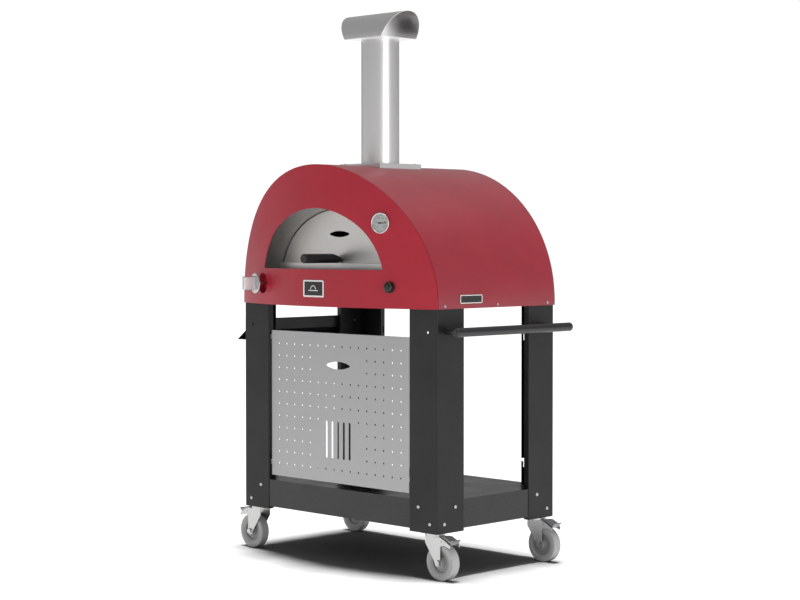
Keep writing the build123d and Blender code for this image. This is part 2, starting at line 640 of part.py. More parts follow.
def flue_box():
    """Square flashing on the roof, cut to the arch, with a hole for the spigot."""
    half, y = FLUE_BOX_HALF, FLUE_Y
    body = block(-half, half, y - half, y + half, 1245, FLUE_BOX_TOP)
    inner = half - SHEET
    body -= block(-inner, inner, y - inner, y + inner, 1240, FLUE_BOX_TOP - SHEET)
    body -= prism_y(shell_outline(-0.2), y - half - 5, y + half + 5)
    body -= rod((0, y, 1240), (0, y, 1300), 60.2)
    for sx in (-1, 1):
        for sy in (-1, 1):
            x, yy = sx * (half - 14), y + sy * (half - 14)
            body -= rod((x, yy, FLUE_BOX_TOP - 8), (x, yy, FLUE_BOX_TOP + 2), 2.4)
    return body


def flue_spigot():
    """Short tube with a saddle on the dome's crown, that the chimney pipe slides over."""
    tube = rod((0, FLUE_Y, 1150), (0, FLUE_Y, 1335), 59.6)
    tube -= prism_y(dome_outline(0), DOME_Y0, DOME_Y1)
    saddle = prism_y(dome_outline(2 * SHEET) - dome_outline(SHEET), FLUE_Y - 90, FLUE_Y + 90)
    tube += saddle & rod((0, FLUE_Y, 1150), (0, FLUE_Y, 1230), 76)
    return tube - rod((0, FLUE_Y, 1140), (0, FLUE_Y, 1340), 58.1)


def chimney_pipe():
    low, high = (0, FLUE_Y, FLUE_BOX_TOP), (0, FLUE_Y, PIPE_TOP)
    return rod(low, high, PIPE_R) - rod((0, FLUE_Y, 1280), (0, FLUE_Y, PIPE_TOP + 5), PIPE_R - PIPE_T)


def cap_half_round(radius, floor_z, reach):
    """Half-round bar along X, flat below at floor_z."""
    bar = rod((-reach, FLUE_Y, CAP_AXIS_Z), (reach, FLUE_Y, CAP_AXIS_Z), radius)
    return bar & block(-reach, reach, FLUE_Y - 200, FLUE_Y + 200, floor_z, floor_z + 200)


def chimney_cap():
    """Half-round cowl, open at both slanted ends, on a collar inside the pipe."""
    top = CAP_AXIS_Z + CAP_R + 5
    low, high = [CAP_END + CAP_SLANT * (z - CAP_AXIS_Z) for z in (PIPE_TOP, top)]
    side = make_face(Polyline((-low, PIPE_TOP), (low, PIPE_TOP), (high, top), (-high, top), close=True))
    cowl = cap_half_round(CAP_R, PIPE_TOP, 200) & prism_y(side, FLUE_Y - 120, FLUE_Y + 120)
    cowl -= cap_half_round(CAP_R - SHEET, PIPE_TOP + SHEET, 240)
    collar = PIPE_R - PIPE_T - 0.3
    cowl += rod((0, FLUE_Y, PIPE_TOP - 40), (0, FLUE_Y, PIPE_TOP + SHEET), collar)
    cowl -= rod((0, FLUE_Y, PIPE_TOP - 45), (0, FLUE_Y, PIPE_TOP + SHEET + 1), collar - SHEET)
    return cowl


# ================================================================ door

def door_panel():
    """Pan-shaped door that stands on the sill and fills the throat, with an air slot."""
    depth = 16.0
    above = block(-300, 300, DOOR_Y - 1, DOOR_Y + depth + 1, HEARTH_Z + 0.3, MOUTH_CROWN)
    outer = prism_y(offset(mouth_face(), amount=-DOOR_GAP), DOOR_Y, DOOR_Y + depth) & above
    inner = prism_y(offset(mouth_face(), amount=-DOOR_GAP - SHEET), DOOR_Y + SHEET, DOOR_Y + depth + 1)
    inner &= block(-300, 300, DOOR_Y, DOOR_Y + depth + 2, HEARTH_Z + 0.3 + SHEET, MOUTH_CROWN)
    door = outer - inner
    door -= prism_y(almond_face(93, 20, 0, 1057), DOOR_Y - 2, DOOR_Y + 5)
    door += rod((0, DOOR_Y + SHEET, GRIP_Z - 6), (0, DOOR_Y + 9, GRIP_Z - 6), 8)
    return door


GRIP_Z = 979.5
GRIP_R = 14.8


def door_grip():
    """Round insulating grip, cut away on top towards its steel stub on the door."""
    tip, taper, foot = FRONT - 139.0, FRONT - 16.0, DOOR_Y - 8.0
    grip = rod((0, foot, GRIP_Z), (0, tip, GRIP_Z), GRIP_R)
    grip = fillet(grip.edges().sort_by(Axis.Y)[0], 3.5)
    cut = [(taper, GRIP_Z + GRIP_R + 1), (taper, GRIP_Z + GRIP_R), (foot, GRIP_Z + 3), (foot + 1, GRIP_Z + GRIP_R + 1)]
    side = Plane(origin=(-20, 0, 0), x_dir=(0, 1, 0), z_dir=(1, 0, 0)) * make_face(Polyline(*cut, close=True))
    grip -= extrude(side, amount=40)
    return grip + rod((0, foot, GRIP_Z - 6), (0, DOOR_Y, GRIP_Z - 6), 5)


# ================================================================ instruments and gas train

def thermometer_case():
    """Bezel, can and stem of the dial thermometer."""
    case = disc(0, 7, THERMO_R) - disc(1, 8, THERMO_R - 3.5)
    case = fillet(case.edges().filter_by(GeomType.CIRCLE).sort_by(Axis.Z)[-2:], 1.2)
    case += disc(-20, 0, 26.5) + disc(-165, -20, 3)
    return bow_plane(THERMO_X, THERMO_Z) * case


def thermometer_dial():
    return bow_plane(THERMO_X, THERMO_Z) * (disc(1, 2, THERMO_R - 3.5) - disc(0, 3, 1.2))


def thermometer_lens():
    return bow_plane(THERMO_X, THERMO_Z) * disc(4.8, 6, THERMO_R - 3.5)


def thermometer_needle():
    """Pointer with a counterweight, drawn pointing to the right."""
    outline = Polyline((-9, -2.6), (0, -1.8), (21, -0.5), (21, 0.5), (0, 1.8), (-9, 2.6), close=True)
    pointer = extrude(Pos(0, 0, 2.8) * make_face(outline), amount=0.7)
    pointer += disc(2.4, 4, 2.6) + disc(1.1, 3, 1.2 - RUN)
    return bow_plane(THERMO_X, THERMO_Z) * pointer


def nameplate():
    """Plain curved badge below the mouth."""
    plate = bow_layer(-2.0, 0, 858, 912)
    return plate & block(-48, 48, FRONT - BOW_SAG - 20, FRONT, 858, 912)


def side_label():
    """Plain plate on the right of the shell."""
    plate = block(SHELL_X - 4, SHELL_X + 1.3, FRONT + 101, FRONT + 201, 843.2, 870)
    return plate - prism_y(shell_outline(0), FRONT, REAR)


CUP_R, CUP_DEPTH = 33.5, 21.0


def control_knob():
    """Disc knob with a diametral bar grip, a tapered neck and the valve's spindle."""
    grip = Pos(0, 0, 49) * Box(17, 45, 43)
    grip = fillet(grip.edges().filter_by(Axis.Z), 3)
    grip = fillet(grip.faces().sort_by(Axis.Z)[-1].edges(), 2)
    rim = disc(24, 29, KNOB_R)
    rim = fillet(rim.edges().filter_by(GeomType.CIRCLE), 1.2)
    knob = rim + grip + Pos(0, 0, 6) * Cone(6, 24, 19, align=FROM_BASE)
    knob += disc(-32, 8, 4)
    return bow_plane(KNOB_X, KNOB_Z) * knob


def gas_valve():
    """Valve body behind the front panel's cup, bored for the knob's spindle."""
    body = valve_block() - disc(-34, -20, 4 + RUN)
    return bow_plane(KNOB_X, KNOB_Z) * body


def valve_block():
    return Pos(0, 0, -CUP_DEPTH - 20) * Box(42, 50, 40)


def pipe_through(points, radius, bend):
    """Round bar along straight runs with tangent bends."""
    path = FilletPolyline(*points, radius=bend)
    start = Vector(*points[0])
    return sweep(Plane(origin=start, z_dir=Vector(*points[1]) - start) * Circle(radius), path)


def gas_pipe():
    """Feed pipe from the valve to the burner, and inlet pipe with its rear union."""
    valve = bow_plane(KNOB_X, KNOB_Z).from_local_coords((0, 0, -41))
    feed_x = BURNER_X
    feed = pipe_through(
        [(feed_x, valve.Y, KNOB_Z + 25), (feed_x, valve.Y, BURNER_Z), (feed_x, FRONT + 60, BURNER_Z)], 4, 20
    )
    y, z = valve.Y, GAS_INLET_Z
    inlet = pipe_through(
        [(valve.X - 10, y, z), (valve.X - 40, y, z), (GAS_INLET_X, y + 42, z), (GAS_INLET_X, REAR, z)], 5, 20
    )
    inlet -= bow_plane(KNOB_X, KNOB_Z) * valve_block()
    union_start = (GAS_INLET_X, REAR + 0.3 - 8, GAS_INLET_Z)
    union = rod(union_start, (GAS_INLET_X, REAR + 2.3 + GAS_INLET_LENGTH, GAS_INLET_Z), GAS_INLET_R)
    union -= rod((GAS_INLET_X, REAR + 10, GAS_INLET_Z), (GAS_INLET_X, REAR + 40, GAS_INLET_Z), 6)
    nut_plane = Plane(origin=(GAS_INLET_X, REAR + 2.3, GAS_INLET_Z), z_dir=(0, 1, 0))
    union += extrude(nut_plane * RegularPolygon(15, 6), amount=6)
    return Compound(children=[feed, inlet + union])


def burner_tube():
    """Tube burner along the left of the hearth, with a row of ports on its inner side."""
    y0, y1 = FRONT + 60, FRONT + 440
    tube = rod((BURNER_X, y0, BURNER_Z), (BURNER_X, y1, BURNER_Z), BURNER_R)
    tube -= rod((BURNER_X, y0 + 2, BURNER_Z), (BURNER_X, y1 - 2, BURNER_Z), BURNER_R - 1.5)
    for i in range(14):
        y = y0 + 30 + i * 25
        tube -= rod((BURNER_X, y, BURNER_Z), (BURNER_X + 20, y, BURNER_Z + 12), 2.5)
    for y in (y0 + 12, y1 - 12):
        foot = block(BURNER_X - 3, BURNER_X + 3, y - 6, y + 6, HEARTH_Z, BURNER_Z)
        tube += foot - rod((BURNER_X, y - 9, BURNER_Z), (BURNER_X, y + 9, BURNER_Z), BURNER_R - 1)
    return tube


LEAD_X, LEAD_Z = -313.0, 1008.0


def igniter_unit():
    """Piezo igniter behind its button, its lead and the electrode beside the burner."""
    body = disc(-52, -FRONT_T - 0.3, 13) + disc(-FRONT_T - 0.3, 0, 11) + disc(0, 6, 18)
    body -= disc(1.1, 7, BUTTON_R + 0.3) + disc(-18, 3, 5 + RUN)
    body = bow_plane(BUTTON_X, BUTTON_Z) * body
    back = igniter_back()
    return body + rod((back.X, back.Y, BUTTON_Z), (back.X, FRONT + 24, BUTTON_Z), 3)


def igniter_back():
    return bow_plane(BUTTON_X, BUTTON_Z).from_local_coords((0, 0, -52))


def ignition_lead():
    """Insulated lead behind the front panel, from the igniter to the electrode."""
    back = igniter_back()
    y = FRONT + 26
    points = [
        (back.X, y, BUTTON_Z), (LEAD_X, y, BUTTON_Z + 6), (LEAD_X, y, LEAD_Z - 12), (LEAD_X, y + 6, LEAD_Z),
        (LEAD_X, FRONT + 45, LEAD_Z),
    ]
    return pipe_through(points, 2, 4)


def spark_electrode():
    """Ceramic electrode with its wire tip beside the burner."""
    electrode = rod((LEAD_X, FRONT + 45, LEAD_Z), (LEAD_X, FRONT + 85, LEAD_Z), 3)
    return electrode + rod((LEAD_X, FRONT + 85, LEAD_Z), (LEAD_X, FRONT + 100, LEAD_Z), 1)


def igniter_button():
    """Domed push button on a stem that runs in the igniter."""
    button = disc(5.6, 17, BUTTON_R)
    button = fillet(button.edges().sort_by(Axis.Z)[-1], 8)
    button += disc(-13, 5.6, 5)
    return bow_plane(BUTTON_X, BUTTON_Z) * button


# ================================================================ files

def place_caster(part, side, end):
    """Moves a part drawn about the swivel axis to its corner. Left casters trail to the left."""
    if side < 0:
        part = mirror(part, about=Plane.YZ)
    return Pos(side * PIVOT_X, end * PIVOT_Y, 0) * part


def build_all():
    """Every piece by node name."""
    nodes = {}
    corners = {
        "front_left": (-1, -1), "front_right": (1, -1),
        "rear_left": (-1, 1), "rear_right": (1, 1),
    }
    for corner, (side, end) in corners.items():
        nodes[f"leg_{corner}"] = leg(side, end)
    for make in (
        shelf_tray, perforated_panel, tool_rail, side_handle_tube, side_handle_posts, stand_bolts,
        base_tray, front_panel, outer_shell, rear_panel, shell_screws, mouth_liner, hearth_sill,
        inner_dome, hearth_tiles, floor_insulation, dome_insulation, flue_box, flue_spigot,
        chimney_pipe, chimney_cap, caster_bolts, door_panel, door_grip, thermometer_case, thermometer_dial,
        thermometer_lens, thermometer_needle, nameplate, side_label, control_knob, gas_valve,
        gas_pipe, burner_tube, igniter_unit, ignition_lead, spark_electrode, igniter_button,
        caster_plates,
    ):
        nodes[make.__name__] = make()
    pieces = {
        "fork": caster_fork(), "tyre": caster_tyre(), "hub": caster_hub(), "pedal": caster_pedal(),
    }
    for corner, (side, end) in corners.items():
        for name, part in pieces.items():
            nodes[f"caster_{corner}_{name}"] = place_caster(part, side, end)
    return nodes


def main():
    os.makedirs("parts", exist_ok=True)
    nodes = build_all()
    for name, part in nodes.items():
        export_step(part, f"parts/{name}.step")
    print(f"{len(nodes)} nodes written")


main()
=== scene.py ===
"""Looks for the outdoor pizza oven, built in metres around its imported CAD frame."""

import json
import math

import bmesh
import bpy
from mathutils import Matrix, Vector


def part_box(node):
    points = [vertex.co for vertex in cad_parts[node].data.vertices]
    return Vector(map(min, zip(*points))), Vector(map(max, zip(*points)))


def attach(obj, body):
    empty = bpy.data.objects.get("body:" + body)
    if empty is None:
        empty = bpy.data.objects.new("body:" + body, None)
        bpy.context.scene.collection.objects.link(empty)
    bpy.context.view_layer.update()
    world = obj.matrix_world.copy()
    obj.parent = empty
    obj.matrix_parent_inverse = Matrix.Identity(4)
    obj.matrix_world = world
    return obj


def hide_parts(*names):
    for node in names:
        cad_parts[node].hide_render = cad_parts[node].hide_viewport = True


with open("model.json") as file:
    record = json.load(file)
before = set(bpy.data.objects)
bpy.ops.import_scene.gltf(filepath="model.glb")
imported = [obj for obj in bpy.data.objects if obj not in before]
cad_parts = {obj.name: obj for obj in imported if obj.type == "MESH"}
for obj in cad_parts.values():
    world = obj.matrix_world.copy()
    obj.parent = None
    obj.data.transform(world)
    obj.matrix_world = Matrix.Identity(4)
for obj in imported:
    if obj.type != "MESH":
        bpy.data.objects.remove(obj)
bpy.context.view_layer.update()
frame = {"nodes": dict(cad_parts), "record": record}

NODES = frame["nodes"]
MM = 0.001

# ---------------------------------------------------------------- driving values
CAMERA = Vector((4.3368, -4.3041, 1.0510))
AZIMUTH, PITCH = 44.543, 1.462
LENS = 83.42
SHIFT_X, SHIFT_Y = -0.02255, -0.02099
CLIP_NEAR, CLIP_FAR = 0.1, 60

WORLD_LIGHT, BACKDROP = 0.33, 1.05
FLOOR_SUN, SUN_SPREAD = 27.0, 11.0
FLOOR_HALF = 30.0
FLOOR_GREY = (0.12, 0.12, 0.12)
# name: place, target, size, power
AREA_LIGHTS = {
    "top": ((0.9, 0.4, 4.4), (0, 0, 0.6), 2.2, 78),
    "left": ((-4.2, -1.5, 1.6), (0, 0, 0.9), 2.6, 2),
    "right": ((4.4, -0.9, 1.3), (0, 0, 0.9), 2.0, 40),
}

RED = (0.41, 0.013, 0.030)
# The roof red is the same paint as RED with a darker base colour: painted shade on the roof under the top
# light.
ROOF_RED_PAINTED_SHADE = (0.30, 0.012, 0.027)

DIAL_FACE_MM = 2.0
DIAL_SWEEP = (225, -45)
DIAL_DIVISIONS, DIAL_MAJOR_EVERY = 50, 5
DIAL_TOP, DIAL_NUMBER_STEP = 500, 100
TICK_OUTER_MM, TICK_MAJOR_MM, TICK_MINOR_MM = 26.5, 21.5, 23.8
NUMBER_RADIUS_MM, NUMBER_SIZE_MM = 16.5, 5.6

BOW_RADIUS, BOW_FRONT = 1.11803, -0.368
BADGE_CORNER = 0.005
LABEL_SEAT = 0.0011
# edges of the two badges, as (inset, height) from the outside to the field
BADGE_EDGE = [(0, 0.0), (0, 0.0014), (0.0006, 0.0020), (0.0050, 0.0020), (0.0056, 0.0011)]
LABEL_EDGE = [(0, 0.0), (0, 0.0009), (0.0003, 0.0012), (0.0030, 0.0012), (0.0033, 0.0008)]
MARK_INNER, MARK_OUTER, MARK_STEPS = 0.0105, 0.0130, 24
MARK_LOW, MARK_HIGH, MARK_DROP = 0.0011, 0.0019, 0.003
MARK_BASE_HALF, MARK_BASE_BOTTOM, MARK_BASE_TOP = 0.022, -0.0045, -0.0020

NAMEPLATE_LOW, NAMEPLATE_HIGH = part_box("nameplate")
NAMEPLATE_Z = (NAMEPLATE_LOW[2] + NAMEPLATE_HIGH[2]) / 2
LABEL_LOW, LABEL_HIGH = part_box("side_label")
WALL_X = LABEL_LOW[0] + LABEL_SEAT


# ---------------------------------------------------------------- camera
def make_camera():
    a, e = math.radians(AZIMUTH), math.radians(PITCH)
    look = Vector((-math.sin(a) * math.cos(e), math.cos(a) * math.cos(e), -math.sin(e)))
    data = bpy.data.cameras.new("camera")
    data.sensor_width = 36
    data.lens = LENS
    data.shift_x, data.shift_y = SHIFT_X, SHIFT_Y
    data.clip_start, data.clip_end = CLIP_NEAR, CLIP_FAR
    camera = bpy.data.objects.new("camera", data)
    bpy.context.scene.collection.objects.link(camera)
    camera.location = CAMERA
    camera.rotation_mode = "QUATERNION"
    camera.rotation_quaternion = look.to_track_quat("-Z", "Y")
    bpy.context.scene.camera = camera


# ---------------------------------------------------------------- lights and floor
def area_light(name, place, target, size, power):
    data = bpy.data.lights.new(name, "AREA")
    data.energy = power
    data.size = size
    light = bpy.data.objects.new(name, data)
    bpy.context.scene.collection.objects.link(light)
    light.location = place
    light.rotation_mode = "QUATERNION"
    light.rotation_quaternion = (Vector(target) - Vector(place)).to_track_quat("-Z", "Y")


def make_world():
    """Even white surroundings: bright behind the object, dimmer as a light on it."""
    world = bpy.data.worlds.new("studio")
    bpy.context.scene.world = world
    world.use_nodes = True
    nodes, links = world.node_tree.nodes, world.node_tree.links
    nodes["Background"].inputs["Color"].default_value = (1, 1, 1, 1)
    path = nodes.new("ShaderNodeLightPath")
    strength = nodes.new("ShaderNodeMapRange")
    strength.inputs["To Min"].default_value = WORLD_LIGHT
    strength.inputs["To Max"].default_value = BACKDROP
    links.new(path.outputs["Is Camera Ray"], strength.inputs["Value"])
    links.new(strength.outputs["Result"], nodes["Background"].inputs["Strength"])


def make_floor():
    corners = [(-FLOOR_HALF, -FLOOR_HALF, 0), (FLOOR_HALF, -FLOOR_HALF, 0)]
    corners += [(FLOOR_HALF, FLOOR_HALF, 0), (-FLOOR_HALF, FLOOR_HALF, 0)]
    mesh = bpy.data.meshes.new("floor")
    mesh.from_pydata(corners, [], [(0, 1, 2, 3)])
    floor = bpy.data.objects.new("floor", mesh)
    bpy.context.scene.collection.objects.link(floor)
    mesh.materials.append(powder_coat("floor", FLOOR_GREY, roughness=0.95, depth=0))
    return floor


def light_floor(floor):
    """Overhead sun that reaches the floor alone, so the floor is white and the shadow under the oven deep."""
    data = bpy.data.lights.new("floor_sun", "SUN")
    data.energy = FLOOR_SUN
    data.angle = math.radians(SUN_SPREAD)
    sun = bpy.data.objects.new("floor_sun", data)
    sun.location = (0, 0, 5)
    bpy.context.scene.collection.objects.link(sun)
    receivers = bpy.data.collections.new("floor_only")
    receivers.objects.link(floor)
    sun.light_linking.receiver_collection = receivers


def make_lights():
    make_world()
    for name, values in AREA_LIGHTS.items():
        area_light(name, *values)
    light_floor(make_floor())


# ---------------------------------------------------------------- materials
class Shader:
    """Small helper that builds one Principled material."""

    def __init__(self, name, colour, metallic=0.0, roughness=0.5, **inputs):
        self.material = bpy.data.materials.new(name)
        self.material.use_nodes = True
        self.nodes = self.material.node_tree.nodes
        self.links = self.material.node_tree.links
        self.bsdf = self.nodes["Principled BSDF"]
        self.set("Base Color", (*colour, 1))
        self.set("Metallic", metallic)
        self.set("Roughness", roughness)
        for socket, value in inputs.items():
            self.set(socket.replace("_", " "), value)
        self.coords = None

    def set(self, socket, value):
        self.bsdf.inputs[socket].default_value = value

    def point(self, scale=(1, 1, 1)):
        if self.coords is None:
            self.coords = self.nodes.new("ShaderNodeTexCoord")
        mapping = self.nodes.new("ShaderNodeMapping")
        mapping.inputs["Scale"].default_value = scale
        self.links.new(self.coords.outputs["Object"], mapping.inputs["Vector"])
        return mapping.outputs["Vector"]

    def noise(self, scale, stretch=(1, 1, 1), detail=3.0, rough=0.55):
        node = self.nodes.new("ShaderNodeTexNoise")
        node.inputs["Scale"].default_value = scale
        node.inputs["Detail"].default_value = detail
        node.inputs["Roughness"].default_value = rough
        self.links.new(self.point(stretch), node.inputs["Vector"])
        return node.outputs["Fac"]

    def remap(self, value, low, high, from_low=0.3, from_high=0.7):
        node = self.nodes.new("ShaderNodeMapRange")
        node.inputs["From Min"].default_value = from_low
        node.inputs["From Max"].default_value = from_high
        node.inputs["To Min"].default_value = low
        node.inputs["To Max"].default_value = high
        self.links.new(value, node.inputs["Value"])
        return node.outputs["Result"]

    def vary_colour(self, value, dark, light):
        ramp = self.nodes.new("ShaderNodeValToRGB")
        ramp.color_ramp.elements[0].position = 0.3
        ramp.color_ramp.elements[1].position = 0.7
        ramp.color_ramp.elements[0].color = (*dark, 1)
        ramp.color_ramp.elements[1].color = (*light, 1)
        self.links.new(value, ramp.inputs["Fac"])
        self.links.new(ramp.outputs["Color"], self.bsdf.inputs["Base Color"])

    def vary_roughness(self, value, low, high):
        self.links.new(self.remap(value, low, high), self.bsdf.inputs["Roughness"])

    def bump(self, value, distance):
        node = self.nodes.new("ShaderNodeBump")
        node.inputs["Strength"].default_value = 1.0
        node.inputs["Distance"].default_value = distance
        self.links.new(value, node.inputs["Height"])
        self.links.new(node.outputs["Normal"], self.bsdf.inputs["Normal"])


def shade(colour, factor):
    return tuple(min(1.0, c * factor) for c in colour)


def powder_coat(name, colour, roughness=0.45, grain=1400, depth=0.00003, **inputs):
    """Fine textured paint with a little unevenness in gloss and colour."""
    s = Shader(name, colour, roughness=roughness, **inputs)
    s.vary_colour(s.noise(6), shade(colour, 0.93), shade(colour, 1.06))
    s.vary_roughness(s.noise(9, detail=4), roughness - 0.05, roughness + 0.05)
    s.bump(s.noise(grain, detail=1), depth)
    return s.material


def brushed(name, colour, along="x", roughness=0.3, depth=0.00002, contrast=0.05, **inputs):
    """Directional grain along one axis."""
    stretch = {"x": (2, 160, 160), "y": (160, 2, 160), "z": (160, 160, 2)}[along]
    s = Shader(name, colour, metallic=1.0, roughness=roughness, **inputs)
    grain = s.noise(14, stretch, detail=4, rough=0.7)
    s.vary_colour(grain, shade(colour, 1 - contrast), shade(colour, 1 + contrast))
    s.vary_roughness(grain, roughness - 0.05, roughness + 0.07)
    s.bump(grain, depth)
    return s.material


def clear_glass(name):
    s = Shader(name, (1, 1, 1), roughness=0.03, Transmission_Weight=1.0, IOR=1.45)
    s.vary_roughness(s.noise(30), 0.02, 0.05)
    return s.material


def tile_stone(name):
    s = Shader(name, (0.55, 0.45, 0.33), roughness=0.9)
    s.vary_colour(s.noise(60, detail=8), (0.46, 0.37, 0.26), (0.62, 0.52, 0.40))
    s.bump(s.noise(450, detail=4), 0.0004)
    return s.material


def bare_metals():
    return {
        "panel_steel": brushed("panel_brushed", (0.43, 0.43, 0.435), "x", 0.42),
        "bolt_black": brushed("bolt_steel", (0.6, 0.6, 0.6), "x", 0.3),
        "zinc": brushed("zinc", (0.72, 0.72, 0.71), "x", 0.3),
        "galvanised": brushed("galvanised", (0.5, 0.5, 0.5), "y", 0.4),
        "rear_grey": brushed("rear_sheet", (0.55, 0.55, 0.55), "x", 0.4),
        "screw_steel": brushed("screw_steel", (0.5, 0.5, 0.5), "x", 0.3),
        # The throat steel is given a darker colour than the other steel: painted shade inside the tunnel.
        "throat_dark": brushed("throat_steel_painted_shade", (0.36, 0.35, 0.34), "y", 0.4),
        "sill_steel": brushed("sill_steel", (0.88, 0.87, 0.86), "x", 0.35),
        "dome_steel": brushed("dome_steel", (0.45, 0.43, 0.4), "y", 0.4),
        "flue_steel": brushed("flue_brushed", (0.78, 0.775, 0.77), "z", 0.34),
        "door_steel": brushed("door_brushed", (0.72, 0.70, 0.685), "x", 0.42, contrast=0.03),
        "bezel_chrome": brushed("bezel_chrome", (0.82, 0.82, 0.82), "x", 0.14, contrast=0.02),
        "badge": brushed("badge_metal", (0.82, 0.82, 0.8), "x", 0.22, contrast=0.03),
        "knob_chrome": brushed("knob_aluminium", (0.62, 0.62, 0.63), "z", 0.28, contrast=0.05),
        "brass": brushed("brass", (0.62, 0.43, 0.17), "x", 0.3),
        "copper_pipe": brushed("copper", (0.68, 0.36, 0.22), "z", 0.3),
        "burner_steel": brushed("burner_steel", (0.3, 0.29, 0.28), "y", 0.45),
        "fork_zinc": brushed("fork_zinc", (0.56, 0.56, 0.555), "z", 0.3),
        "pedal_black": brushed("pedal_metal", (0.34, 0.34, 0.35), "x", 0.42),
    }


def coatings():
    front = {"Specular_IOR_Level": 0.3, "Coat_Weight": 0.22, "Coat_Roughness": 0.2}
    red = powder_coat("red_coat", RED, roughness=0.40, **front)
    # Second copy of the red paint with a darker base for the roof: painted shade.
    roof = powder_coat("roof_coat_painted_shade", ROOF_RED_PAINTED_SHADE, roughness=0.38, Coat_Weight=0.55, Coat_Roughness=0.3)
    black = powder_coat("black_coat", (0.008, 0.008, 0.009), roughness=0.45, Specular_IOR_Level=0.4)
    return {
        "leg_black": black,
        "rail_black": black,
        "red_paint": red,
        "roof_red": roof,
        "shelf_grey": powder_coat("shelf_coat", (0.008, 0.008, 0.009), roughness=0.27),
        "handle_black": powder_coat("handle_coat", (0.018, 0.018, 0.02), roughness=0.36),
        "grip_black": powder_coat("grip_plastic", (0.010, 0.010, 0.010), roughness=0.42),
        "needle_black": powder_coat("needle_coat", (0.02, 0.02, 0.02), roughness=0.4),
        "igniter_black": powder_coat("igniter_plastic", (0.010, 0.012, 0.011), roughness=0.24),
        "lead_rubber": powder_coat("lead_rubber", (0.02, 0.02, 0.02), roughness=0.6),
        "dial_face": powder_coat("dial_paint", (0.78, 0.81, 0.79), roughness=0.45, depth=0.00001),
        "ceramic": powder_coat("ceramic_glaze", (0.85, 0.83, 0.78), roughness=0.4),
        "fibre": powder_coat("fibre", (0.8, 0.8, 0.76), roughness=0.95, grain=300, depth=0.001),
        "tyre_grey": powder_coat("tyre_rubber", (0.44, 0.44, 0.445), roughness=0.6, grain=700),
        "hub_grey": powder_coat("hub_plastic", (0.30, 0.30, 0.305), roughness=0.45),
        "refractory_tile": tile_stone("refractory"),
        "lens": clear_glass("lens_glass"),
    }


def make_materials():
    return {**bare_metals(), **coatings()}


def paint_nodes(materials):
    slots = {p["node"]: p["material_slot"] for p in frame["record"]["subparts"]}
    for name, obj in NODES.items():
        obj.data.materials.clear()
        obj.data.materials.append(materials[slots[name]])


# ---------------------------------------------------------------- printed dial
def joint_place(name):
    joint = next(j for j in frame["record"]["behaviour"]["joints"] if j["name"] == name)
    return Vector(joint["pos_m"]), Vector(joint["axis"]).normalized()


def add_piece(name, mesh, slot, body="oven"):
    piece = bpy.data.objects.new(name, mesh)
    bpy.context.scene.collection.objects.link(piece)
    mesh.materials.append(MATERIALS[slot])
    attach(piece, body)
    return piece


def add_prism(bm, outline, low, high):
    """Closed prism over a convex outline in the XY plane."""
    count = len(outline)
    rings = [[bm.verts.new((x, y, z)) for x, y in outline] for z in (low, high)]
    bm.faces.new(list(reversed(rings[0])))
    bm.faces.new(rings[1])
    for i in range(count):
        j = (i + 1) % count
        bm.faces.new((rings[0][i], rings[0][j], rings[1][j], rings[1][i]))


def add_tick(bm, angle, inner, outer, width, low, high):
    along = Vector((math.cos(angle), math.sin(angle)))
    across = Vector((-along.y, along.x)) * width / 2
    corners = [along * inner - across, along * outer - across, along * outer + across, along * inner + across]
    add_prism(bm, [tuple(c) for c in corners], low, high)


def add_number(bm, text, place, size, low):
    """Raised numeral, centred on a point of the dial."""
    curve = bpy.data.curves.new("numeral", "FONT")
    curve.body = text
    curve.size = size
    curve.extrude = 0.05 * MM
    curve.align_x, curve.align_y = "CENTER", "CENTER"
    holder = bpy.data.objects.new("numeral", curve)
    mesh = bpy.data.meshes.new_from_object(holder)
    mesh.transform(Matrix.Translation((place.x, place.y, low)))
    bm.from_mesh(mesh)
    bpy.data.objects.remove(holder)
    bpy.data.meshes.remove(mesh)
    bpy.data.curves.remove(curve)


def dial_angle(part):
    """Angle of a point of the scale, from its start at 0 to its end at 1."""
    start, end = DIAL_SWEEP
    return math.radians(start + (end - start) * part)


def make_dial_print():
    """Scale ticks and plain numbers on the thermometer's face."""
    bm = bmesh.new()
    low, high = (DIAL_FACE_MM + 0.02) * MM, (DIAL_FACE_MM + 0.2) * MM
    for i in range(DIAL_DIVISIONS + 1):
        major = i % DIAL_MAJOR_EVERY == 0
        inner = TICK_MAJOR_MM if major else TICK_MINOR_MM
        width = 0.8 if major else 0.4
        add_tick(bm, dial_angle(i / DIAL_DIVISIONS), inner * MM, TICK_OUTER_MM * MM, width * MM, low, high)
    for value in range(0, DIAL_TOP + 1, DIAL_NUMBER_STEP):
        angle = dial_angle(value / DIAL_TOP)
        place = Vector((math.cos(angle), math.sin(angle))) * NUMBER_RADIUS_MM * MM
        add_number(bm, str(value), place, NUMBER_SIZE_MM * MM, low + 0.05 * MM)
    mesh = bpy.data.meshes.new("dial_print")
    bm.to_mesh(mesh)
    bm.free()
    place, out = joint_place("needle_turn")
    across = Vector((0, 0, 1)).cross(out).normalized()
    turn = Matrix((across, Vector((0, 0, 1)), out)).transposed().to_4x4()
    mesh.transform(Matrix.Translation(place) @ turn)
    add_piece("dial_print", mesh, "needle_black")


# ---------------------------------------------------------------- badges
def on_bow(u, v, height):
    """Point of the bowed front: u to the right, v up, height outwards."""
    radius = BOW_RADIUS + height
    angle = u / BOW_RADIUS
    return Vector((radius * math.sin(angle), BOW_FRONT + BOW_RADIUS - radius * math.cos(angle), v))


def rounded_columns(half_w, half_h, corner, steps):
    """Columns (u, half height) of a rounded rectangle, from left to right."""
    columns = []
    for i in range(steps + 1):
        turn = math.radians(90 * i / steps)
        columns.append((-half_w + corner * (1 - math.cos(turn)), half_h - corner * (1 - math.sin(turn))))
    middle = [(-half_w + corner + (half_w - corner) * 2 * i / 12, half_h) for i in range(1, 12)]
    return columns + middle + [(-u, h) for u, h in reversed(columns)]


